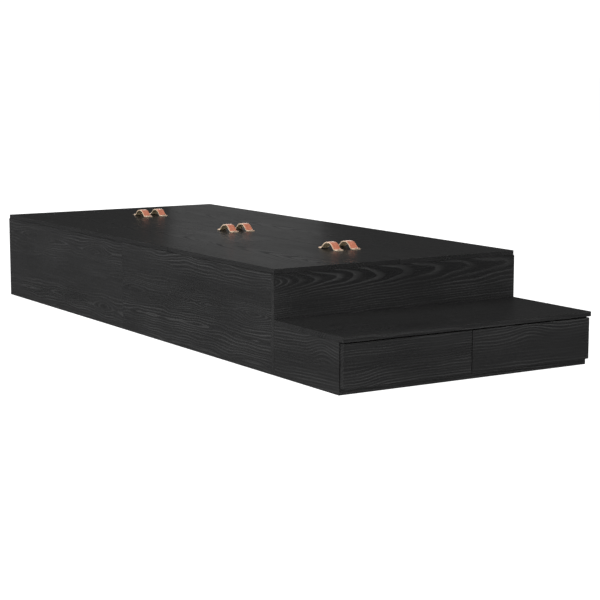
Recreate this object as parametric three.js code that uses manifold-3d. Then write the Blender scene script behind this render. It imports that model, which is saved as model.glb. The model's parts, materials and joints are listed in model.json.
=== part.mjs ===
// Platform bed with storage: a tall box for a single mattress, closed by six lift-off lids with leather
// pull straps, and at its foot end a low step that holds two drawers on steel runners.
// Millimetres. +X is the sleeper's right, +Y runs to the head end, +Z is up.
// The origin is on the floor, under the middle of the whole object.
import * as THREE from "three";
import { mergeVertices } from "three/addons/utils/BufferGeometryUtils.js";
import Module from "manifold-3d";

const wasm = await Module();
wasm.setup();

// Boards and the gaps between them.
const BOARD = 15; // sides, ends, dividers, lids, step and drawer fronts
const BOTTOM_BOARD = 9; // storage floor, laid on the room's floor
const GAP = 0.3; // left between pieces that are joined or rest on each other

// Tall box.
const BED_WIDTH = 900; // over the long sides, and of the step
const BED_LENGTH = 2000; // foot face to head face
const PANEL_HEIGHT = 300; // box without its lids
const SPLICE_WIDTH = 120; // cleat behind the joint in each long side

// Lids, their locating cleats and their straps.
const LID_ROWS = ["foot", "middle", "head"]; // along the bed
const LID_INSET = 2; // lid edges behind the box's outer faces
const LID_SEAM = 2; // between neighbouring lids
const CLEAT_WIDTH = 40;
const CLEAT_THICKNESS = 15;
const CLEAT_CLEARANCE = 3; // to the panels that it drops between
const STRAP_OFFSET = 33; // centre line of a strap from the middle of the bed
const STRAP_WIDTH = 28;
const STRAP_THICKNESS = 3;
const STRAP_FOOT = 13; // flat end that is screwed down
const STRAP_SPAN = 84; // of the arch between the feet
const STRAP_CROWN = 20; // flat top of the arch
const STRAP_RISE = 21; // of the arch's centre line
const STRAP_STEPS = 28; // along the arch

// Step at the foot end.
const MODULE_GAP = 1; // between the tall box and the step
const STEP_DEPTH = 345; // carcass, without the top board's overhang
const STEP_PANEL_HEIGHT = 150;
const STEP_OVERHANG = 21; // top board past the carcass front
const PLINTH_HEIGHT = 26;

// Drawers.
const FRONT_BOTTOM = 20; // lower edge of a drawer front above the floor
const FRONT_TOP_GAP = 4; // to the top board
const FRONT_INSET = 3; // drawer front's outer end behind the step's side
const FRONT_SEAM = 3; // between the two drawer fronts
const FRONT_STANDOFF = 2; // drawer front before the carcass
const DRAWER_SIDE = 12; // thickness of sides and back
const DRAWER_LIFT = 8; // drawer box over the plinth
const DRAWER_HEADROOM = 16; // drawer box to the step's top board
const DRAWER_BACK_SPACE = 24; // drawer box to the step's back
const DRAWER_BASE = 5; // thickness of the drawer's bottom
const DRAWER_BASE_RAISE = 10; // bottom above the lower edge of the sides
const GROOVE_DEPTH = 6;
const GROOVE_PLAY = 0.4; // on each face of the bottom in its groove

// Telescopic runners, one rail on the carcass and one slider on the drawer.
const RUNNER_SPACE = 12.7; // drawer side to carcass
const RUNNER_START = 4; // behind the carcass front
const RUNNER_END = 2; // before the rear edge of the drawer box
const RUNNER_WALL = 1.5;
const RAIL_HEIGHT = 35;
const RAIL_DEPTH = 9.5;
const RAIL_LIP = 3.5;
const SLIDER_HEIGHT = 25;
const SLIDER_DEPTH = 8;
const SLIDER_LIP = 3;

// Places that follow from the sizes above.
const HALF_WIDTH = BED_WIDTH / 2;
const TOTAL_LENGTH = BED_LENGTH + MODULE_GAP + STEP_DEPTH + STEP_OVERHANG;
const HEAD_Y = TOTAL_LENGTH / 2;
const FOOT_Y = HEAD_Y - BED_LENGTH;
const STEP_BACK_Y = FOOT_Y - MODULE_GAP;
const STEP_FRONT_Y = STEP_BACK_Y - STEP_DEPTH;
const INNER_X = HALF_WIDTH - BOARD; // inner face of a long side or step side
const LID_WIDTH = (BED_WIDTH - 2 * LID_INSET - LID_SEAM) / 2;
const LID_PITCH = (BED_LENGTH - 2 * LID_INSET + LID_SEAM) / LID_ROWS.length;
const LID_LENGTH = LID_PITCH - LID_SEAM;
const LID_X = (LID_SEAM + LID_WIDTH) / 2;
const LID_Z = PANEL_HEIGHT + GAP; // underside of the lids
const STEP_TOP_Z = STEP_PANEL_HEIGHT + GAP; // underside of the step's top board
const BAY_X = (INNER_X + BOARD / 2) / 2; // middle of a drawer bay
const BAY_HALF = (INNER_X - BOARD / 2) / 2;
const DRAWER_HALF = BAY_HALF - RUNNER_SPACE; // half of a drawer box's width
const DRAWER_BACK_Y = STEP_DEPTH - BOARD - DRAWER_BACK_SPACE; // behind the carcass front
const DRAWER_LOW_Z = PLINTH_HEIGHT + DRAWER_LIFT;
const DRAWER_HIGH_Z = STEP_PANEL_HEIGHT - DRAWER_HEADROOM;
const RUNNER_LENGTH = DRAWER_BACK_Y - RUNNER_START - RUNNER_END;
const RUNNER_Z = (DRAWER_LOW_Z + DRAWER_HIGH_Z) / 2;

const SIDES = [
  { name: "left", sign: -1 },
  { name: "right", sign: 1 },
];

const FINISHES = {
  black_oak: { color: 0x2d2d2e, roughness: 0.55, metalness: 0 },
  light_board: { color: 0xb9a98c, roughness: 0.6, metalness: 0 },
  steel: { color: 0xb4b6b8, roughness: 0.35, metalness: 1 },
  leather: { color: 0xc98366, roughness: 0.6, metalness: 0 },
};

// A named piece with a material of its own.
function part(name, finish, geometry) {
  const mesh = new THREE.Mesh(geometry, new THREE.MeshStandardMaterial(FINISHES[finish]));
  mesh.name = name;
  return mesh;
}

// A closed mesh as a solid that can be cut.
function solidOf(geometry) {
  const bare = geometry.clone();
  bare.deleteAttribute("normal");
  bare.deleteAttribute("uv");
  const merged = mergeVertices(bare);
  const vertProperties = merged.attributes.position.array;
  const triVerts = new Uint32Array(merged.index.array);
  return new wasm.Manifold(new wasm.Mesh({ numProp: 3, vertProperties, triVerts }));
}

function geometryOf(solid) {
  const mesh = solid.getMesh();
  const geometry = new THREE.BufferGeometry();
  geometry.setAttribute("position", new THREE.BufferAttribute(mesh.vertProperties, 3));
  geometry.setIndex(new THREE.BufferAttribute(mesh.triVerts, 1));
  geometry.computeVertexNormals();
  return geometry;
}

// A box between its lowest and its highest corner.
function box(low, high) {
  const size = high.map((value, i) => value - low[i]);
  const middle = high.map((value, i) => (value + low[i]) / 2);
  return new THREE.BoxGeometry(...size).translate(...middle);
}

// A straight board between two corners, with any grooves cut out of it, placed by its middle.
function board(name, finish, low, high, grooves = []) {
  let geometry = box(low, high);
  if (grooves.length) {
    const cut = grooves.reduce((rest, groove) => rest.subtract(solidOf(box(...groove))), solidOf(geometry));
    geometry = geometryOf(cut);
  }
  const middle = high.map((value, i) => (value + low[i]) / 2);
  geometry.translate(...middle.map((value) => -value));
  const mesh = part(name, finish, geometry);
  mesh.position.set(...middle);
  return mesh;
}

// Y of the seam after the given number of lid rows, counted from the foot end.
function seamY(rows) {
  return FOOT_Y + LID_INSET + rows * LID_PITCH - LID_SEAM / 2;
}

// Clear space of a lid row between the end panels or cross partitions, along Y.
function bayRange(row) {
  const low = row === 0 ? FOOT_Y + BOARD : seamY(row) + BOARD / 2;
  const high = row === LID_ROWS.length - 1 ? HEAD_Y - BOARD : seamY(row + 1) - BOARD / 2;
  return [low + GAP, high - GAP];
}

// Foot and head panels run the full width; each long side is two boards that meet at mid-length,
// with a cleat behind the joint.
function tallBoxShell() {
  const shell = new THREE.Group();
  const ends = [
    ["foot_panel", FOOT_Y, FOOT_Y + BOARD],
    ["head_panel", HEAD_Y - BOARD, HEAD_Y],
  ];
  for (const [name, low, high] of ends) {
    shell.add(board(name, "black_oak", [-HALF_WIDTH, low, 0], [HALF_WIDTH, high, PANEL_HEIGHT]));
  }
  const middleY = (FOOT_Y + HEAD_Y) / 2;
  const halves = [
    ["foot", FOOT_Y + BOARD + GAP, middleY - GAP / 2],
    ["head", middleY + GAP / 2, HEAD_Y - BOARD - GAP],
  ];
  for (const side of SIDES) {
    const spread = (inner, outer) => [side.sign * inner, side.sign * outer].sort((a, b) => a - b);
    const [lowX, highX] = spread(INNER_X, HALF_WIDTH);
    for (const [half, low, high] of halves) {
      const name = `side_panel_${side.name}_${half}`;
      shell.add(board(name, "black_oak", [lowX, low, 0], [highX, high, PANEL_HEIGHT]));
    }
    const [spliceLow, spliceHigh] = spread(INNER_X - GAP - BOARD, INNER_X - GAP);
    shell.add(
      board(
        `side_splice_${side.name}`,
        "black_oak",
        [spliceLow, middleY - SPLICE_WIDTH / 2, BOTTOM_BOARD + GAP],
        [spliceHigh, middleY + SPLICE_WIDTH / 2, PANEL_HEIGHT],
      ),
    );
  }
  return shell;
}

// Cross partitions under the lids' cross seams, a centre divider under the long seam of each row,
// and a bottom board in each row.
function tallBoxInside() {
  const inside = new THREE.Group();
  const reach = INNER_X - GAP;
  LID_ROWS.forEach((row, i) => {
    const [low, high] = bayRange(i);
    inside.add(board(`bottom_board_${row}`, "light_board", [-reach, low, 0], [reach, high, BOTTOM_BOARD]));
    inside.add(
      board(
        `centre_divider_${row}`,
        "black_oak",
        [-BOARD / 2, low, BOTTOM_BOARD + GAP],
        [BOARD / 2, high, PANEL_HEIGHT],
      ),
    );
    if (i > 0) {
      const y = seamY(i);
      const name = `cross_partition_${LID_ROWS[i - 1]}`;
      inside.add(
        board(name, "black_oak", [-reach, y - BOARD / 2, 0], [reach, y + BOARD / 2, PANEL_HEIGHT]),
      );
    }
  });
  return inside;
}

// Leather strap: two flat feet and an arch between them, along Y, standing on Z = 0. The arch falls
// from its crown to each foot in a smooth S.
function strap(name) {
  const outer = [];
  const inner = [];
  const reach = STRAP_SPAN / 2;
  const fall = reach - STRAP_CROWN / 2;
  const half = STRAP_THICKNESS / 2;
  for (let i = 0; i <= STRAP_STEPS; i += 1) {
    const y = -reach + (STRAP_SPAN * i) / STRAP_STEPS;
    const t = Math.max(0, Math.abs(y) - STRAP_CROWN / 2) / fall;
    const height = half + STRAP_RISE * (1 - t * t * (3 - 2 * t));
    const slope = (-Math.sign(y) * STRAP_RISE * 6 * t * (1 - t)) / fall;
    const length = Math.hypot(1, slope);
    outer.push(new THREE.Vector2(y - (half * slope) / length, height + half / length));
    inner.push(new THREE.Vector2(y + (half * slope) / length, height - half / length));
  }
  const end = reach + STRAP_FOOT;
  const outline = [
    new THREE.Vector2(-end, 0),
    new THREE.Vector2(-end, STRAP_THICKNESS),
    ...outer,
    new THREE.Vector2(end, STRAP_THICKNESS),
    new THREE.Vector2(end, 0),
    ...inner.reverse(),
  ];
  const options = { depth: STRAP_WIDTH, bevelEnabled: false };
  const geometry = new THREE.ExtrudeGeometry(new THREE.Shape(outline), options);
  geometry.translate(0, 0, -STRAP_WIDTH / 2);
  geometry.rotateX(Math.PI / 2);
  geometry.rotateZ(Math.PI / 2);
  return part(name, "leather", geometry);
}

// A lid with its strap on top and the cleat below that keeps it in place. The cleat drops in beside
// the end panel, or beside the cross partition nearer the foot end.
function lid(row, index, side) {
  const group = new THREE.Group();
  const name = `${row}_${side.name}`;
  const centreY = (seamY(index) + seamY(index + 1)) / 2;
  group.position.set(side.sign * LID_X, centreY, LID_Z);
  group.add(
    board(
      `lid_${name}`,
      "black_oak",
      [-LID_WIDTH / 2, -LID_LENGTH / 2, 0],
      [LID_WIDTH / 2, LID_LENGTH / 2, BOARD],
    ),
  );

  const [bayLow, bayHigh] = bayRange(index).map((value) => value - centreY);
  const atHead = index === LID_ROWS.length - 1;
  const cleatLow = atHead ? bayHigh - CLEAT_CLEARANCE - CLEAT_WIDTH : bayLow + CLEAT_CLEARANCE;
  const cleatX = side.sign * (BAY_X - LID_X);
  const cleatHalf = BAY_HALF - CLEAT_CLEARANCE;
  group.add(
    board(
      `lid_cleat_${name}`,
      "black_oak",
      [cleatX - cleatHalf, cleatLow, -GAP - CLEAT_THICKNESS],
      [cleatX + cleatHalf, cleatLow + CLEAT_WIDTH, -GAP],
    ),
  );

  const pull = strap(`strap_${name}`);
  pull.position.set(side.sign * (STRAP_OFFSET - LID_X), 0, BOARD + GAP);
  group.add(pull);
  return group;
}

// Step carcass: two sides, a back, a centre divider and a plinth under one top board.
function stepCarcass() {
  const step = new THREE.Group();
  for (const side of SIDES) {
    const xs = [side.sign * INNER_X, side.sign * HALF_WIDTH].sort((a, b) => a - b);
    step.add(
      board(
        `step_side_${side.name}`,
        "black_oak",
        [xs[0], STEP_FRONT_Y, 0],
        [xs[1], STEP_BACK_Y, STEP_PANEL_HEIGHT],
      ),
    );
  }
  const reach = INNER_X - GAP;
  step.add(
    board(
      "step_back",
      "black_oak",
      [-reach, STEP_BACK_Y - BOARD, 0],
      [reach, STEP_BACK_Y, STEP_PANEL_HEIGHT],
    ),
  );
  step.add(
    board(
      "step_plinth",
      "black_oak",
      [-reach, STEP_FRONT_Y, 0],
      [reach, STEP_FRONT_Y + BOARD, PLINTH_HEIGHT],
    ),
  );
  step.add(
    board(
      "step_divider",
      "black_oak",
      [-BOARD / 2, STEP_FRONT_Y, 0],
      [BOARD / 2, STEP_BACK_Y - BOARD - GAP, STEP_PANEL_HEIGHT],
      [
        [
          [-BOARD, STEP_FRONT_Y - BOARD, -BOARD],
          [BOARD, STEP_FRONT_Y + BOARD + GAP, PLINTH_HEIGHT + GAP],
        ],
      ],
    ),
  );
  step.add(
    board(
      "step_top",
      "black_oak",
      [-HALF_WIDTH, STEP_FRONT_Y - STEP_OVERHANG, STEP_TOP_Z],
      [HALF_WIDTH, STEP_BACK_Y, STEP_TOP_Z + BOARD],
    ),
  );
  return step;
}

// Channel section along Y: its web stands on X = 0 and its two flanges point along the sign of X.
function channel(name, depth, height, lip, sign) {
  const wall = RUNNER_WALL;
  const half = height / 2;
  const lower = [
    [0, -half],
    [depth, -half],
    [depth, -half + lip],
    [depth - wall, -half + lip],
    [depth - wall, -half + wall],
    [wall, -half + wall],
  ];
  const upper = lower.map(([x, z]) => [x, -z]).reverse();
  const outline = [...lower, ...upper].map(([x, z]) => new THREE.Vector2(sign * x, z));
  const options = { depth: RUNNER_LENGTH, bevelEnabled: false };
  const geometry = new THREE.ExtrudeGeometry(new THREE.Shape(outline), options);
  geometry.rotateX(Math.PI / 2);
  geometry.translate(0, RUNNER_LENGTH, 0);
  return part(name, "steel", geometry);
}

// One telescopic runner: the rail's web lies on the carcass, the slider's web on the drawer's side.
function runner(drawerName, place, sign) {
  const group = new THREE.Group();
  group.position.set(0, RUNNER_START, RUNNER_Z);
  const rail = channel(`${drawerName}_rail_${place}`, RAIL_DEPTH, RAIL_HEIGHT, RAIL_LIP, -sign);
  rail.position.x = sign * (BAY_HALF - GAP);
  const slider = channel(`${drawerName}_slider_${place}`, SLIDER_DEPTH, SLIDER_HEIGHT, SLIDER_LIP, sign);
  slider.position.x = sign * (DRAWER_HALF + GAP);
  group.add(rail, slider);
  return group;
}

// A drawer in its bay. Its own Y = 0 is the carcass front, and its X = 0 the middle of the bay.
function drawer(side) {
  const group = new THREE.Group();
  const name = `drawer_${side.name}`;
  group.position.set(side.sign * BAY_X, STEP_FRONT_Y, 0);

  const boxFront = -FRONT_STANDOFF + GAP;
  const baseLow = DRAWER_LOW_Z + DRAWER_BASE_RAISE;
  const inner = DRAWER_HALF - DRAWER_SIDE;
  const backFace = DRAWER_BACK_Y - DRAWER_SIDE;
  const grooveLow = [-inner - GROOVE_DEPTH, -FRONT_STANDOFF - GROOVE_DEPTH, baseLow - GROOVE_PLAY];
  const grooveHigh = [inner + GROOVE_DEPTH, backFace + GROOVE_DEPTH, baseLow + DRAWER_BASE + GROOVE_PLAY];
  const groove = [grooveLow, grooveHigh];

  const frontXs = [HALF_WIDTH - FRONT_INSET, FRONT_SEAM / 2].map((x) => side.sign * (x - BAY_X));
  group.add(
    board(
      `${name}_front`,
      "black_oak",
      [Math.min(...frontXs), -FRONT_STANDOFF - BOARD, FRONT_BOTTOM],
      [Math.max(...frontXs), -FRONT_STANDOFF, STEP_TOP_Z - FRONT_TOP_GAP],
      [groove],
    ),
  );
  for (const wall of SIDES) {
    const xs = [wall.sign * inner, wall.sign * DRAWER_HALF].sort((a, b) => a - b);
    group.add(
      board(
        `${name}_wall_${wall.name}`,
        "light_board",
        [xs[0], boxFront, DRAWER_LOW_Z],
        [xs[1], DRAWER_BACK_Y, DRAWER_HIGH_Z],
        [groove],
      ),
    );
  }
  group.add(
    board(
      `${name}_back`,
      "light_board",
      [-inner + GAP, backFace, DRAWER_LOW_Z],
      [inner - GAP, DRAWER_BACK_Y, DRAWER_HIGH_Z],
      [groove],
    ),
  );
  const tongue = GROOVE_DEPTH - 2 * GROOVE_PLAY;
  group.add(
    board(
      `${name}_base`,
      "light_board",
      [-inner - tongue, -FRONT_STANDOFF - tongue, baseLow],
      [inner + tongue, backFace + tongue, baseLow + DRAWER_BASE],
    ),
  );

  const places = [
    ["outboard", side.sign],
    ["inboard", -side.sign],
  ];
  for (const [place, sign] of places) {
    group.add(runner(name, place, sign));
  }
  return group;
}

const bed = new THREE.Group();
bed.add(tallBoxShell(), tallBoxInside(), stepCarcass());
for (const side of SIDES) {
  LID_ROWS.forEach((row, index) => bed.add(lid(row, index, side)));
  bed.add(drawer(side));
}

export default bed;
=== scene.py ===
"""Looks of the platform bed: stained oak boards, pale drawer boards, steel runners, leather pull straps,
and the studio around them. Metres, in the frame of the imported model: +Y runs to the head end, +Z is up.
"""

import json
import math

import bmesh
import bpy
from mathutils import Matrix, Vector

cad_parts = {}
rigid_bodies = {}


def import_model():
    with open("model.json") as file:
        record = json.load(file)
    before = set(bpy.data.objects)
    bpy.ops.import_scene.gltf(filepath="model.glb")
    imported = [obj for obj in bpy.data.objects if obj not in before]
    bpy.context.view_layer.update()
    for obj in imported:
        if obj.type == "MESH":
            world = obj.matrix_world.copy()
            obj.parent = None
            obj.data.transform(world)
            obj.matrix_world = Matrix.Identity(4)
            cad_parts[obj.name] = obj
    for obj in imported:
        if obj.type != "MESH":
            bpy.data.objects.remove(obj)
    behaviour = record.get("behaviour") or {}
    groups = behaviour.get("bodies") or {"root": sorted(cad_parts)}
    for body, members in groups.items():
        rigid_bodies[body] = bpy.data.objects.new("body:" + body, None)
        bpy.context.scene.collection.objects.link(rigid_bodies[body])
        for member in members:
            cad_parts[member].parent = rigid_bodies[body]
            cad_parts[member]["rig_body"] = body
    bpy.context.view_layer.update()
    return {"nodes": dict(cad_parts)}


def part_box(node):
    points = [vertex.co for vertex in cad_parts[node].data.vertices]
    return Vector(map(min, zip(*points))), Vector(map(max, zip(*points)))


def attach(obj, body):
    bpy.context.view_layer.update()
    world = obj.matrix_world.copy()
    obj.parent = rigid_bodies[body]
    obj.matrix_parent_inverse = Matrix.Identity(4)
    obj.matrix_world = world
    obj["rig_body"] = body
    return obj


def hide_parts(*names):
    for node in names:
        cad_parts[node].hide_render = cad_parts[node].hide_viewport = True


MM = 0.001

for leftover in list(bpy.data.objects):
    bpy.data.objects.remove(leftover)
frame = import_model()
NODES = frame["nodes"]

# Finishes: linear colours.
OAK_BASE = (0.0114, 0.0114, 0.0116)
OAK_LINE = (0.0420, 0.0420, 0.0420)
OAK_PORE = (0.004, 0.004, 0.004)
OAK_RUB = (0.036, 0.035, 0.034)
PALE_BASE = (0.47, 0.36, 0.23)
PALE_LINE = (0.30, 0.205, 0.115)
STEEL_BASE = (0.50, 0.51, 0.52)
STEEL_DULL = (0.26, 0.265, 0.27)
GRAIN_SIDE = (0.70, 0.255, 0.165)
GRAIN_SIDE_DARK = (0.47, 0.14, 0.065)
# Flesh side: its own pale tan, raised well above that as painted light for the strap's inner face under
# the arch, which the lamps leave in shade.
FLESH_TONE_AND_PAINTED_LIGHT = (0.84, 0.68, 0.42)
FLESH_DARK_AND_PAINTED_LIGHT = (0.62, 0.47, 0.27)
CUT_EDGE = (0.72, 0.58, 0.43)
CUT_EDGE_DARK = (0.48, 0.34, 0.23)
BRONZE = (0.52, 0.42, 0.30)
BRONZE_WORN = (0.80, 0.70, 0.55)

# Arrises of the boards.
WELD_DISTANCE = 0.01 * MM
BOARD_ARRIS = 0.4 * MM
STEEL_ARRIS = 0.25 * MM
ARRIS_ANGLE = math.radians(40)
RUB_EDGE = 0.2 * MM  # from an arris: fully rubbed up to here
RUB_REACH = 1.6 * MM  # and not at all from here

# Straps.
STRAP_RINGS = 60
STRAP_CROWDING = 0.0175  # how much closer the rings stand at the two ends
STRAP_FLATS = 6  # parts of the section's flat faces
STRAP_ARCS = 6  # parts of its rounded edges
STRAP_FOOT = 14 * MM
STRAP_ROUND = 1.6  # 1 gives a wave, and more gives a rounder crown on steeper legs
STRAP_THICKNESS = 3.4 * MM
STRAP_EDGE_RADIUS = 1.1 * MM
STRAP_CORNER_RADIUS = 5 * MM
STRAP_CUP = 0.5 * MM  # fall of the crown's edges
STRAP_TWIST = 0.05  # of the crown, at most
STRAP_SWAY = 0.6 * MM  # of the crown to one side, at most

# Screws of the straps: profiles of radius and height in millimetres.
SCREW_INSET = 6.2 * MM
SCREW_SINK = 0.05 * MM  # washer into the leather
WASHER_PROFILE = ((1.8, 0.0), (4.6, 0.0), (4.8, 0.15), (4.7, 0.55), (4.3, 0.75), (1.8, 0.75))
DOME_PROFILE = ((1.2, 0.7), (3.1, 0.7), (3.3, 0.9), (3.2, 1.3), (2.8, 1.8), (2.1, 2.2), (1.35, 2.35))
SOCKET_RIM = 2.3 * MM
SOCKET_FLOOR = 1.2 * MM
SOCKET_HALF = 1.0 * MM  # half of the distance across the socket's flats

# Camera.
CAMERA_PLACE = Vector((-2.945, -4.9335, 0.929))
CAMERA_YAW = math.radians(-32.128)
CAMERA_PITCH = math.radians(-8.326)
CAMERA_LENS = 99.97
SENSOR = 36

# Lights: place, aim, width, height, radiance, and whether the object mirrors it.
LIGHTS = {
    "top_box": ((0, 0, 5), (0, 0, 0), 7, 7, 0.30, True),
    "left_box": ((-6.5, 0.5, 1.7), (0, 0, 0.1), 5, 2.4, 13.6, False),
    "right_box": ((6.5, 0.5, 1.7), (0, 0, 0.1), 5, 2.4, 4.0, False),
    "head_box": ((0.5, 7.0, 1.7), (0, 0, 0.1), 5, 2.4, 4.0, False),
    "front_box": ((1.0, -6.0, 4.0), (0, 0, 0.1), 5, 2.4, 6.4, True),
    "fill_box": ((-2.6, -4.6, 0.25), (0, -0.6, 0.25), 2.4, 0.45, 14.0, False),
}
PANEL_DISTANCE = 7.6  # rear panel from the camera, in plan
PANEL_LEFT = math.radians(-4.46)  # its ends, from the middle of the view
PANEL_RIGHT = math.radians(0.80)
PANEL_MIDDLE = 1.3  # height above the floor
PANEL_HEIGHT = 2.0
PANEL_RADIANCE = 0.138
WORLD_SEEN = 1.1  # strength of the world behind the object
WORLD_LIGHT = 0.055  # and as the object sees it
FLOOR_HALF = 60
FLOOR_DROP = 0.4 * MM
FLOOR_DARK = (0.40, 0.40, 0.40)
FLOOR_PALE = (0.44, 0.44, 0.44)


# ---------------------------------------------------------------- node graphs


class Graph:
    """Short calls that make nodes in one tree and join them."""

    def __init__(self, tree):
        self.tree = tree

    def put(self, kind, inputs=None, **settings):
        node = self.tree.nodes.new(kind)
        for name, value in settings.items():
            setattr(node, name, value)
        for key, value in (inputs or {}).items():
            self.feed(node.inputs[key], value)
        return node

    def feed(self, socket, value):
        if isinstance(value, bpy.types.NodeSocket):
            self.tree.links.new(value, socket)
        else:
            socket.default_value = value

    def math(self, operation, *values, clamp=False):
        inputs = dict(enumerate(values))
        return self.put("ShaderNodeMath", inputs, operation=operation, use_clamp=clamp).outputs[0]

    def stretch(self, vector, factors):
        inputs = {0: vector, 1: factors}
        return self.put("ShaderNodeVectorMath", inputs, operation="MULTIPLY").outputs[0]

    def shift(self, vector, offset):
        return self.put("ShaderNodeVectorMath", {0: vector, 1: offset}, operation="ADD").outputs[0]

    def noise(self, vector, scale=1.0, detail=2.0, roughness=0.5, distortion=0.0):
        inputs = {
            "Vector": vector,
            "Scale": scale,
            "Detail": detail,
            "Roughness": roughness,
            "Distortion": distortion,
        }
        return self.put("ShaderNodeTexNoise", inputs).outputs["Fac"]

    def span(self, value, low, high, new_low=0.0, new_high=1.0, smooth=False):
        kind = "SMOOTHSTEP" if smooth else "LINEAR"
        inputs = {0: value, 1: low, 2: high, 3: new_low, 4: new_high}
        return self.put("ShaderNodeMapRange", inputs, interpolation_type=kind).outputs[0]

    def mix(self, factor, first, second):
        node = self.put("ShaderNodeMix", data_type="RGBA")
        self.feed(node.inputs[0], factor)
        for socket, value in ((node.inputs[6], first), (node.inputs[7], second)):
            self.feed(socket, (*value, 1) if isinstance(value, tuple) else value)
        return node.outputs[2]

    def bump(self, height, distance, strength=1.0):
        inputs = {"Height": height, "Distance": distance, "Strength": strength}
        return self.put("ShaderNodeBump", inputs).outputs[0]

    def here(self):
        """Place on the piece, in the row frame at rest."""
        return self.put("ShaderNodeTexCoord").outputs["Object"]


def new_material(name):
    material = bpy.data.materials.new(name)
    material.use_nodes = True
    material.node_tree.nodes.clear()
    return material, Graph(material.node_tree)


def surface(graph, color, roughness, normal, **values):
    """The one shader of a material, joined to its output."""
    shader = graph.put("ShaderNodeBsdfPrincipled")
    graph.feed(shader.inputs["Base Color"], color)
    graph.feed(shader.inputs["Roughness"], roughness)
    graph.feed(shader.inputs["Normal"], normal)
    for name, value in values.items():
        shader.inputs[name.replace("_", " ")].default_value = value
    graph.put("ShaderNodeOutputMaterial", {"Surface": shader.outputs[0]})


def group_tree(name, inputs, outputs):
    tree = bpy.data.node_groups.new(name, "ShaderNodeTree")
    for label, kind in inputs:
        tree.interface.new_socket(label, in_out="INPUT", socket_type=kind)
    for label, kind in outputs:
        tree.interface.new_socket(label, in_out="OUTPUT", socket_type=kind)
    graph = Graph(tree)
    entry = graph.put("NodeGroupInput")
    leave = graph.put("NodeGroupOutput")
    return graph, entry.outputs, leave.inputs


# ---------------------------------------------------------------- stained oak

EYES = 4
FIGURE = {
    "Heart": 0.15,  # height of the middle of the arches across the board
    "Second Heart": -9.0,  # height of a second one
    "Taper": 0.0,  # opens the rings into arches along the board
    "Start": 0.0,  # where along the board the arches begin
    "Ring": 0.008,  # width of one growth ring
    "Tilt": 0.0,  # fall of the lines along the board
    "Wander": 0.012,  # slow bends of the lines
    "Ripple": 0.8,  # short bends, in rings
    "Calm": -1.0,  # height of the middle of a plain band
    "Calm Half": 0.05,
    "Strength": 1.0,  # of the ring lines
    "Seed": 0.0,
}


def growth_rings(g, along, across, depth, entry):
    """Ring count over the board: arches, tilted lines, slow and short bends, and eyes."""
    place = g.put("ShaderNodeCombineXYZ", {0: along, 1: across, 2: entry["Seed"]}).outputs[0]
    slow = g.math("SUBTRACT", g.noise(g.stretch(place, (2.6, 7.0, 1.0)), detail=1), 0.5)
    short = g.math("SUBTRACT", g.noise(g.stretch(place, (10.0, 30.0, 1.0)), detail=0), 0.5)
    tilted = g.math("MULTIPLY_ADD", along, entry["Tilt"], across)
    tilted = g.math("MULTIPLY_ADD", slow, entry["Wander"], tilted)
    level = g.math("ABSOLUTE", g.math("SUBTRACT", tilted, entry["Heart"]))
    second = g.math("ABSOLUTE", g.math("SUBTRACT", tilted, entry["Second Heart"]))
    level = g.math("SMOOTH_MIN", level, second, 0.02)
    run = g.math("MAXIMUM", g.math("SUBTRACT", along, entry["Start"]), 0.0)
    square = g.math("MULTIPLY_ADD", run, entry["Taper"], g.math("MULTIPLY", level, level))
    count = g.math("DIVIDE", g.math("SQRT", g.math("ADD", square, 4e-6)), entry["Ring"])
    count = g.math("MULTIPLY_ADD", short, entry["Ripple"], count)
    for i in range(EYES):
        spot = g.put("ShaderNodeSeparateXYZ", {0: entry[f"Eye {i}"]}).outputs
        size = g.put("ShaderNodeSeparateXYZ", {0: entry[f"Eye {i} Size"]}).outputs
        x = g.math("DIVIDE", g.math("SUBTRACT", along, spot[0]), size[0])
        y = g.math("DIVIDE", g.math("SUBTRACT", across, spot[1]), size[1])
        fall = g.math("ADD", g.math("MULTIPLY", x, x), g.math("MULTIPLY", y, y))
        bump = g.math("EXPONENT", g.math("MULTIPLY", fall, -1.0))
        count = g.math("MULTIPLY_ADD", bump, spot[2], count)
    return g.math("MULTIPLY_ADD", depth, 70.0, count)


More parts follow.
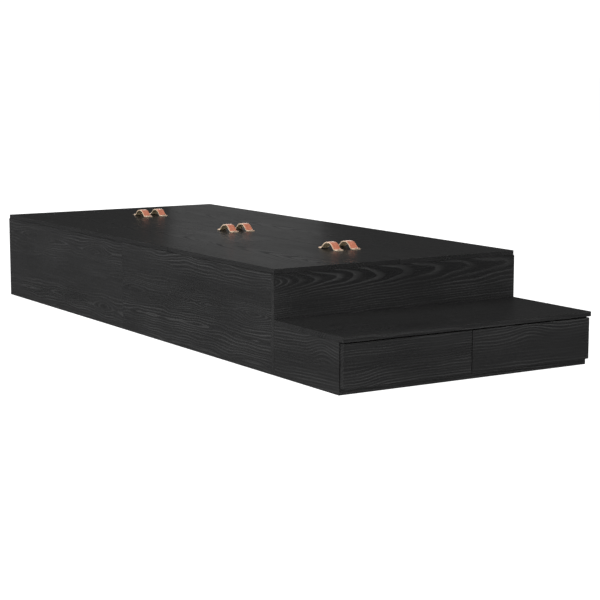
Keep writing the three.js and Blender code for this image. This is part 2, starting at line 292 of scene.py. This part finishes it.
def oak_group():
    """Colour, roughness and relief of open-grained oak under a black stain."""
    inputs = [("Place", "NodeSocketVector"), ("Size", "NodeSocketVector")]
    inputs += [(name, "NodeSocketFloat") for name in FIGURE]
    for i in range(EYES):
        inputs += [(f"Eye {i}", "NodeSocketVector"), (f"Eye {i} Size", "NodeSocketVector")]
    outputs = [
        ("Color", "NodeSocketColor"),
        ("Roughness", "NodeSocketFloat"),
        ("Normal", "NodeSocketVector"),
    ]
    g, entry, leave = group_tree("black_oak_figure", inputs, outputs)
    along, across, depth = g.put("ShaderNodeSeparateXYZ", {0: entry["Place"]}).outputs
    count = growth_rings(g, along, across, depth, entry)

    # A ring line starts at a sharp edge of open pores and fades into dense late wood.
    phase = g.math("FRACT", count)
    fade = g.span(phase, 0.08, 0.58, 1, 0, smooth=True)
    line = g.math("MULTIPLY", fade, g.span(phase, 0.0, 0.07))
    ring = g.math("FLOOR", count)
    vary = g.put("ShaderNodeTexWhiteNoise", {"W": ring}, noise_dimensions="1D").outputs["Value"]
    seeded = g.put("ShaderNodeCombineXYZ", {0: entry["Seed"], 1: entry["Seed"], 2: 0.0}).outputs[0]
    place = g.shift(entry["Place"], seeded)
    patch = g.span(g.noise(g.stretch(place, (3.5, 16.0, 3.0)), detail=1), 0.35, 0.62, 0.3, 1.0)
    away = g.math("DIVIDE", g.math("SUBTRACT", across, entry["Calm"]), entry["Calm Half"])
    calm = g.math("EXPONENT", g.math("MULTIPLY", g.math("MULTIPLY", away, away), -1.0))
    loud = g.span(calm, 0, 1, 1, 0.22)
    line = g.math("MULTIPLY", line, g.span(vary, 0, 1, 0.5, 1.0))
    line = g.math("MULTIPLY", g.math("MULTIPLY", line, patch), loud)

    # Fine straight grain, pores as short open streaks, and slow blotches of the stain.
    fine = g.noise(g.stretch(place, (5.0, 430.0, 430.0)), detail=3, roughness=0.6)
    streak = g.noise(g.stretch(place, (38.0, 1500.0, 1500.0)), detail=2, roughness=0.55)
    pore = g.span(streak, 0.56, 0.66, smooth=True)
    porous = g.math("MULTIPLY", pore, g.math("MULTIPLY_ADD", line, 0.8, 0.35))
    blotch = g.noise(g.stretch(place, (1.6, 5.0, 5.0)), detail=2)
    line = g.math("MULTIPLY", line, g.span(streak, 0.38, 0.58, 0.45, 1.2))

    shade = g.math("MULTIPLY", line, entry["Strength"])
    shade = g.math("MULTIPLY_ADD", g.math("SUBTRACT", fine, 0.5), 0.75, shade)
    shade = g.math("MULTIPLY_ADD", g.math("SUBTRACT", blotch, 0.5), 0.30, shade)
    color = g.mix(g.math("ADD", shade, 0.08, clamp=True), OAK_BASE, OAK_LINE)
    color = g.mix(g.math("MULTIPLY", porous, 0.28), color, OAK_PORE)

    # Rubbed arrises: near an edge two of the distances to the board's faces are small.
    middle = g.stretch(entry["Size"], (0.5, 0.5, 0.5))
    offset = g.put("ShaderNodeVectorMath", {0: entry["Place"], 1: middle}, operation="SUBTRACT")
    offset = g.put("ShaderNodeVectorMath", {0: offset.outputs[0]}, operation="ABSOLUTE")
    inside = g.put("ShaderNodeVectorMath", {0: middle, 1: offset.outputs[0]}, operation="SUBTRACT")
    a, b, c = g.put("ShaderNodeSeparateXYZ", {0: inside.outputs[0]}).outputs
    nearer = g.math("MINIMUM", g.math("MAXIMUM", a, b), c)
    second = g.math("MAXIMUM", g.math("MINIMUM", a, b), nearer)
    rub = g.span(second, RUB_EDGE, RUB_REACH, 1, 0, smooth=True)
    worn = g.span(g.noise(place, 36.0, detail=3), 0.42, 0.66)
    color = g.mix(g.math("MULTIPLY", g.math("MULTIPLY", rub, worn), 0.3), color, OAK_RUB)

    rough = g.math("MULTIPLY_ADD", line, 0.26, 0.29)
    rough = g.math("MULTIPLY_ADD", porous, 0.20, rough)
    rough = g.math("MULTIPLY_ADD", g.math("SUBTRACT", blotch, 0.5), 0.14, rough)
    relief = g.math("MULTIPLY_ADD", porous, -1.0, g.math("MULTIPLY", fine, 0.35))
    relief = g.math("MULTIPLY_ADD", line, -0.9, relief)
    g.feed(leave["Color"], color)
    g.feed(leave["Roughness"], rough)
    g.feed(leave["Normal"], g.bump(relief, 0.22 * MM, 0.7))
    return g.tree


OAK_GROUP = oak_group()


def board_place(g, low, order):
    """Place on a board from its lowest corner: along the grain, across it, and through the board."""
    local = g.shift(g.here(), tuple(-value for value in low))
    parts = g.put("ShaderNodeSeparateXYZ", {0: local}).outputs
    inputs = {i: parts[axis] for i, axis in enumerate(order)}
    return g.put("ShaderNodeCombineXYZ", inputs).outputs[0]


def grain_order(low, high, along=None):
    """Axes of a board: along the grain, across it, and its thickness."""
    size = high - low
    by_size = sorted(range(3), key=lambda i: -size[i])
    first = by_size[0] if along is None else along
    rest = [i for i in by_size if i != first]
    return [first, *rest]


def oak(node, seed, figure=None, eyes=(), along=None):
    low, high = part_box(node)
    order = grain_order(low, high, along)
    material, g = new_material(f"black_oak_{node}")
    values = {**FIGURE, "Seed": seed, **(figure or {})}
    group = g.put("ShaderNodeGroup", node_tree=OAK_GROUP)
    g.feed(group.inputs["Place"], board_place(g, low, order))
    g.feed(group.inputs["Size"], tuple((high - low)[axis] for axis in order))
    for name, value in values.items():
        g.feed(group.inputs[name], value)
    for i in range(EYES):
        u, v, strength, length, height = eyes[i] if i < len(eyes) else (0, 0, 0, 1, 1)
        g.feed(group.inputs[f"Eye {i}"], (u, v, strength))
        g.feed(group.inputs[f"Eye {i} Size"], (length, height, 1))
    surface(g, *group.outputs, Specular_IOR_Level=0.4)
    return material


# ---------------------------------------------------------------- other finishes


def pale_board(node, seed):
    """Light wood: straight soft grain with darker late wood, a satin lacquer and small pores."""
    low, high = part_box(node)
    material, g = new_material(f"light_board_{node}")
    place = g.shift(board_place(g, low, grain_order(low, high)), (seed, seed, 0))
    bend = g.noise(g.stretch(place, (2.0, 9.0, 9.0)), detail=2)
    bands = g.noise(g.stretch(place, (0.9, 55.0, 55.0)), detail=4, roughness=0.62, distortion=0.4)
    streak = g.noise(g.stretch(place, (24.0, 900.0, 900.0)), detail=2)
    broad = g.span(bend, 0.3, 0.8, 0, 0.3)
    shade = g.math("MULTIPLY_ADD", g.span(bands, 0.38, 0.68, smooth=True), 0.6, broad)
    shade = g.math("MULTIPLY_ADD", g.span(streak, 0.58, 0.7), 0.35, shade)
    rough = g.span(bands, 0.3, 0.7, 0.44, 0.60)
    relief = g.math("MULTIPLY_ADD", streak, 0.5, bands)
    color = g.mix(g.math("MINIMUM", shade, 1.0), PALE_BASE, PALE_LINE)
    surface(g, color, rough, g.bump(relief, 0.12 * MM, 0.5))
    return material


def runner_steel():
    """Zinc-plated strip: drawing lines along the runner, cloudy plating and small scuffs."""
    material, g = new_material("runner_steel")
    place = g.here()
    drawn = g.noise(g.stretch(place, (2600.0, 9.0, 2600.0)), detail=2)
    cloud = g.noise(place, 60.0, detail=4, roughness=0.6)
    scuff = g.noise(g.stretch(place, (900.0, 40.0, 900.0)), detail=3, distortion=0.6)
    scuff = g.span(scuff, 0.60, 0.72)
    shade = g.math("MULTIPLY_ADD", scuff, 0.5, g.span(cloud, 0.35, 0.7, 0, 0.6))
    rough = g.math("MULTIPLY_ADD", drawn, 0.16, g.span(cloud, 0.3, 0.7, 0.24, 0.40))
    color = g.mix(g.math("MINIMUM", shade, 1.0), STEEL_BASE, STEEL_DULL)
    surface(g, color, rough, g.bump(drawn, 0.02 * MM, 0.4), Metallic=0.55)
    return material


def leather(name, base, dark, pebble, rough_low, rough_high, relief_depth):
    """Vegetable-tanned leather: cells, pores, pull-up shading and handling marks."""
    material, g = new_material(name)
    place = g.here()
    inputs = {"Vector": place, "Scale": pebble}
    cells = g.put("ShaderNodeTexVoronoi", inputs, feature="DISTANCE_TO_EDGE")
    crease = g.span(cells.outputs["Distance"], 0.0, 0.16, smooth=True)
    mottle = g.noise(place, 120.0, detail=4, roughness=0.6)
    fibre = g.noise(g.stretch(place, (900.0, 260.0, 900.0)), detail=3)
    pull_up = g.span(mottle, 0.35, 0.72, 0, 0.75)
    shade = g.math("MULTIPLY_ADD", g.math("SUBTRACT", 1.0, crease), 0.35, pull_up)
    shade = g.math("MULTIPLY_ADD", g.math("SUBTRACT", fibre, 0.5), 0.5, shade)
    color = g.mix(g.math("ADD", shade, 0.0, clamp=True), base, dark)
    relief = g.math("MULTIPLY_ADD", fibre, 0.5, crease)
    surface(
        g,
        color,
        g.span(mottle, 0.3, 0.7, rough_low, rough_high),
        g.bump(relief, relief_depth, 0.7),
        Specular_IOR_Level=0.4,
        Sheen_Weight=0.8,
        Sheen_Roughness=0.30,
        Sheen_Tint=(1.0, 0.86, 0.74, 1.0),
    )
    return material


def bronze():
    """Pale bronze of the screws, worn bright in places."""
    material, g = new_material("screw_bronze")
    place = g.here()
    worn = g.span(g.noise(place, 700.0, detail=4, roughness=0.65), 0.48, 0.70)
    turned = g.noise(g.stretch(place, (1800.0, 1800.0, 5000.0)), detail=2)
    rough = g.span(turned, 0.3, 0.7, 0.28, 0.46)
    normal = g.bump(turned, 0.02 * MM, 0.5)
    surface(g, g.mix(worn, BRONZE, BRONZE_WORN), rough, normal, Metallic=0.6)
    return material


# ---------------------------------------------------------------- boards and runners


def finish_node(node, material, arris):
    """Gives a CAD node its material and eased arrises."""
    piece = NODES[node]
    for slot in piece.material_slots:
        slot.material = material
    weld = piece.modifiers.new("weld", "WELD")
    weld.merge_threshold = WELD_DISTANCE
    bevel = piece.modifiers.new("arris", "BEVEL")
    bevel.width = arris
    bevel.segments = 2
    bevel.limit_method = "ANGLE"
    bevel.angle_limit = ARRIS_ANGLE


# Figure and eyes of the boards that show. Distances run from the board's lowest corner. An eye is its
# place along and across, its strength in rings (negative makes closed loops), and its half length and
# half height.
SHOWN_BOARDS = {
    "foot_panel": (
        {
            "Heart": 0.277,
            "Taper": 0.00676,
            "Ring": 0.0062,
            "Wander": 0.010,
            "Ripple": 0.9,
            "Strength": 0.92,
        },
        (),
    ),
    "side_panel_left_head": (
        {
            "Heart": 0.252,
            "Second Heart": 0.062,
            "Ring": 0.0098,
            "Wander": 0.045,
            "Ripple": 1.7,
            "Calm": 0.145,
            "Calm Half": 0.055,
            "Strength": 1.05,
        },
        (
            (0.712, 0.251, -2.6, 0.13, 0.034),
            (0.200, 0.253, -3.4, 0.09, 0.036),
            (0.440, 0.062, -1.8, 0.08, 0.020),
            (0.160, 0.066, -2.2, 0.06, 0.020),
        ),
    ),
    "side_panel_left_foot": (
        {
            "Heart": 0.166,
            "Second Heart": 0.018,
            "Ring": 0.0088,
            "Tilt": 0.012,
            "Wander": 0.040,
            "Ripple": 2.0,
            "Calm": 0.225,
            "Calm Half": 0.030,
            "Strength": 1.0,
        },
        (
            (0.885, 0.160, -2.6, 0.09, 0.024),
            (0.588, 0.152, -3.2, 0.07, 0.028),
            (0.370, 0.170, -2.6, 0.06, 0.024),
            (0.105, 0.160, -3.0, 0.07, 0.026),
        ),
    ),
    "step_side_left": (
        {
            "Heart": -0.02,
            "Ring": 0.0090,
            "Tilt": 0.05,
            "Wander": 0.004,
            "Calm": 0.065,
            "Calm Half": 0.028,
            "Strength": 0.8,
        },
        ((0.085, 0.12, -2.2, 0.06, 0.05),),
    ),
    "drawer_left_front": (
        {
            "Heart": -0.01,
            "Ring": 0.0076,
            "Wander": 0.012,
            "Ripple": 1.2,
            "Calm": 0.07,
            "Calm Half": 0.02,
            "Strength": 0.85,
        },
        ((0.02, 0.02, 2.6, 0.11, 0.05),),
    ),
    "drawer_right_front": (
        {
            "Heart": -0.01,
            "Ring": 0.0086,
            "Wander": 0.012,
            "Ripple": 1.0,
            "Calm": 0.045,
            "Calm Half": 0.035,
            "Strength": 0.9,
        },
        ((0.215, 0.10, -1.6, 0.07, 0.05),),
    ),
    "step_top": (
        {
            "Heart": 0.075,
            "Taper": 0.004,
            "Ring": 0.012,
            "Wander": 0.03,
            "Ripple": 1.2,
            "Strength": 0.4,
        },
        (
            (0.14, 0.075, -1.8, 0.08, 0.030),
            (0.45, 0.075, -2.4, 0.10, 0.035),
            (0.30, 0.25, 1.5, 0.20, 0.050),
        ),
    ),
}
LID_FIGURE = {"Heart": 0.20, "Taper": 0.010, "Ring": 0.012, "Strength": 0.22, "Wander": 0.03}
OAK_SEED_STEP = 0.37
PALE_SEED_STEP = 0.61


def nodes_of(slot):
    """CAD nodes that carry a material slot, in order of name."""
    return [n for n in sorted(NODES) if NODES[n].material_slots[0].material.name.startswith(slot)]


def finish_boards():
    for i, node in enumerate(nodes_of("black_oak")):
        figure, eyes = SHOWN_BOARDS.get(node, ({}, ()))
        if node.startswith("lid_") and "cleat" not in node:
            figure = LID_FIGURE
        finish_node(node, oak(node, OAK_SEED_STEP * (i + 1), figure, eyes), BOARD_ARRIS)
    for i, node in enumerate(nodes_of("light_board")):
        finish_node(node, pale_board(node, PALE_SEED_STEP * i), BOARD_ARRIS)


def finish_runners():
    steel = runner_steel()
    for node in sorted(NODES):
        if "_rail_" in node or "_slider_" in node:
            finish_node(node, steel, STEEL_ARRIS)


# ---------------------------------------------------------------- straps

OUTER, EDGE, INNER = range(3)  # materials of a strap


def strap_line(half, rise, y):
    """Middle of the strap's thickness at a place along it: height and slope."""
    reach = half - STRAP_FOOT
    t = min(1, abs(y) / reach)
    turn = math.pi / 2 * t**STRAP_ROUND
    height = STRAP_THICKNESS / 2 + rise * math.cos(turn) ** 2
    steep = math.pi / 2 * STRAP_ROUND * t ** (STRAP_ROUND - 1) * math.sin(2 * turn)
    return height, -math.copysign(1, y) * rise * steep / reach


def strap_half_width(half_width, to_end):
    """Half the strap's width at a distance from its end, where its corners are round."""
    if to_end >= STRAP_CORNER_RADIUS:
        return half_width
    short = STRAP_CORNER_RADIUS - to_end
    return half_width - STRAP_CORNER_RADIUS + math.sqrt(max(0, STRAP_CORNER_RADIUS**2 - short**2))


def strap_section(half_width):
    """Section of the strap: places across and through it, and the index of the face's material."""
    half = STRAP_THICKNESS / 2
    flat = half_width - STRAP_EDGE_RADIUS
    across = [flat * (1 - 2 * i / STRAP_FLATS) for i in range(STRAP_FLATS + 1)]
    arc = [math.pi / 2 - math.pi * k / STRAP_ARCS for k in range(1, STRAP_ARCS)]
    bulge = [(flat + STRAP_EDGE_RADIUS * math.cos(a), half * math.sin(a)) for a in arc]
    outer = [(x, half, OUTER) for x in across]
    left = [(-x, depth, EDGE) for x, depth in bulge]
    inner = [(-x, -half, INNER) for x in across]
    right = [(x, depth, EDGE) for x, depth in reversed(bulge)]
    return outer + left + inner + right


def strap_mesh(low, high, twist, sway):
    """Closed mesh of a strap in its CAD box: feet with round corners and an arch that cups a little."""
    centre = (low + high) / 2
    half, half_width = (high.y - low.y) / 2, (high.x - low.x) / 2
    rise = high.z - low.z - STRAP_THICKNESS
    mesh = bmesh.new()
    rings = []
    for i in range(STRAP_RINGS + 1):
        t = i / STRAP_RINGS
        share = 2 * t - 1 + STRAP_CROWDING * math.sin(4 * math.pi * t)
        y = max(-1, min(1, share)) * half
        height, slope = strap_line(half, rise, y)
        length = math.hypot(1, slope)
        lift = max(0, height - STRAP_THICKNESS / 2) / rise
        ring = []
        for x, depth, _ in strap_section(strap_half_width(half_width, half - abs(y))):
            cup = STRAP_CUP * lift * (x / half_width) ** 2
            turn = twist * lift * x * y / half
            place = (x + sway * lift, y - depth * slope / length + turn, height + depth / length - cup)
            ring.append(mesh.verts.new((centre.x + place[0], centre.y + place[1], low.z + place[2])))
        rings.append(ring)
    faces = [face for _, _, face in strap_section(half_width)]
    for first, second in zip(rings, rings[1:]):
        for k, face in enumerate(faces):
            n = (k + 1) % len(faces)
            quad = mesh.faces.new((first[k], first[n], second[n], second[k]))
            quad.material_index = face if face == faces[n] else EDGE
            quad.smooth = True
    for ring in (rings[0][::-1], rings[-1]):
        mesh.faces.new(ring).material_index = EDGE
    bmesh.ops.recalc_face_normals(mesh, faces=mesh.faces)
    return mesh


def make_strap(node, body, materials, twist, sway):
    """A leather strap in the place of a CAD strap."""
    piece = new_piece(f"leather_{node}", strap_mesh(*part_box(node), twist, sway), materials)
    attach(piece, body)
    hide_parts(node)


def new_piece(name, mesh, materials):
    data = bpy.data.meshes.new(name)
    mesh.to_mesh(data)
    mesh.free()
    for material in materials:
        data.materials.append(material)
    piece = bpy.data.objects.new(name, data)
    bpy.context.scene.collection.objects.link(piece)
    return piece


def turned(mesh, centre, profile, steps=28):
    """Closed round shape about a vertical axis: rings of (radius or radius by angle, height)."""
    rings = []
    for radius, height in profile:
        ring = []
        for k in range(steps):
            angle = 2 * math.pi * k / steps
            r = radius(angle) if callable(radius) else radius
            place = Vector((r * math.cos(angle), r * math.sin(angle), height))
            ring.append(mesh.verts.new(centre + place))
        rings.append(ring)
    for lower, upper in zip(rings, rings[1:]):
        for k in range(steps):
            n = (k + 1) % steps
            mesh.faces.new((lower[k], lower[n], upper[n], upper[k])).smooth = True
    mesh.faces.new(rings[0][::-1])
    mesh.faces.new(rings[-1])


def socket_radius(angle):
    """Radius of the screw's hexagon socket at an angle."""
    part = (angle + math.pi / 6) % (math.pi / 3) - math.pi / 6
    return SOCKET_HALF / math.cos(part)


def make_screws(node, body, metal):
    """The two dome screws, each in a washer, that hold a strap's feet to its lid."""
    low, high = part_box(node)
    centre_x = (low.x + high.x) / 2
    washer = [(radius * MM, height * MM) for radius, height in WASHER_PROFILE]
    dome = [(radius * MM, height * MM) for radius, height in DOME_PROFILE]
    dome += [(socket_radius, SOCKET_RIM), (socket_radius, SOCKET_FLOOR)]
    mesh = bmesh.new()
    for y in (low.y + SCREW_INSET, high.y - SCREW_INSET):
        base = Vector((centre_x, y, low.z + STRAP_THICKNESS - SCREW_SINK))
        turned(mesh, base, washer)
        turned(mesh, base, dome)
    bmesh.ops.recalc_face_normals(mesh, faces=mesh.faces)
    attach(new_piece(f"screws_{node}", mesh, [metal]), body)


def make_straps():
    leathers = [
        leather("leather_grain_side", GRAIN_SIDE, GRAIN_SIDE_DARK, 1500.0, 0.42, 0.60, 0.05 * MM),
        leather("leather_cut_edge", CUT_EDGE, CUT_EDGE_DARK, 2600.0, 0.38, 0.52, 0.03 * MM),
        # The flesh side's two colours carry painted light as well as the leather's own pale tan.
        leather("leather_flesh_side", FLESH_TONE_AND_PAINTED_LIGHT, FLESH_DARK_AND_PAINTED_LIGHT, 3200.0, 0.75, 0.92, 0.09 * MM),
    ]
    metal = bronze()
    straps = [n for n in sorted(NODES) if n.startswith("strap_")]
    for i, node in enumerate(straps):
        body = NODES[node]["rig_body"]
        twist = STRAP_TWIST * math.sin(2.1 * i)
        sway = STRAP_SWAY * math.cos(1.7 * i)
        make_strap(node, body, leathers, twist, sway)
        make_screws(node, body, metal)


# ---------------------------------------------------------------- studio


def make_camera():
    data = bpy.data.cameras.new("camera")
    data.lens, data.sensor_width = CAMERA_LENS, SENSOR
    camera = bpy.data.objects.new("camera", data)
    camera.location = CAMERA_PLACE
    camera.rotation_euler = (math.pi / 2 + CAMERA_PITCH, 0, CAMERA_YAW)
    bpy.context.scene.collection.objects.link(camera)
    bpy.context.scene.camera = camera


def softbox(name, place, target, width, height, radiance, mirrored=True):
    data = bpy.data.lights.new(name, "AREA")
    data.shape, data.size, data.size_y = "RECTANGLE", width, height
    data.energy = radiance * math.pi * width * height
    light = bpy.data.objects.new(name, data)
    light.location = place
    light.rotation_euler = (Vector(target) - Vector(place)).to_track_quat("-Z", "Y").to_euler()
    light.visible_camera = False
    light.visible_glossy = mirrored
    bpy.context.scene.collection.objects.link(light)


def make_floor():
    mesh = bmesh.new()
    bmesh.ops.create_grid(mesh, x_segments=1, y_segments=1, size=FLOOR_HALF)
    material, g = new_material("floor")
    soft = g.noise(g.here(), 1.5, detail=2)
    surface(
        g,
        g.mix(soft, FLOOR_DARK, FLOOR_PALE),
        g.span(soft, 0, 1, 0.85, 0.95),
        g.bump(soft, 0.1 * MM, 0.1),
        Emission_Color=(1, 1, 1, 1),
        Emission_Strength=1.0,
        Specular_IOR_Level=0.0,
    )
    floor = new_piece("floor", mesh, [material])
    floor.location.z = -FLOOR_DROP
    floor.visible_glossy = False


def make_world():
    world = bpy.data.worlds.new("studio")
    bpy.context.scene.world = world
    world.use_nodes = True
    world.node_tree.nodes.clear()
    g = Graph(world.node_tree)
    seen = g.put("ShaderNodeLightPath").outputs["Is Camera Ray"]
    white = (1, 1, 1, 1)
    dim, bright = (
        g.put("ShaderNodeBackground", {"Color": white, "Strength": strength}).outputs[0]
        for strength in (WORLD_LIGHT, WORLD_SEEN)
    )
    both = g.put("ShaderNodeMixShader", {0: seen, 1: dim, 2: bright}).outputs[0]
    g.put("ShaderNodeOutputWorld", {"Surface": both})


def make_lights():
    for name, light in LIGHTS.items():
        softbox(name, *light)

    # A low panel past the head end, which the lids mirror as a pale band in the view's direction.
    eye = Vector((CAMERA_PLACE.x, CAMERA_PLACE.y, 0))
    forward = Vector((-math.sin(CAMERA_YAW), math.cos(CAMERA_YAW), 0))
    across = Vector((forward.y, -forward.x, 0))
    ends = [eye + (forward + across * math.tan(a)) * PANEL_DISTANCE for a in (PANEL_LEFT, PANEL_RIGHT)]
    middle = (ends[0] + ends[1]) / 2 + Vector((0, 0, PANEL_MIDDLE))
    width = (ends[1] - ends[0]).length
    softbox("rear_panel", middle, middle - forward, width, PANEL_HEIGHT, PANEL_RADIANCE)


finish_boards()
finish_runners()
make_straps()
make_camera()
make_world()
make_floor()
make_lights()
bpy.context.scene.view_settings.view_transform = "Standard"
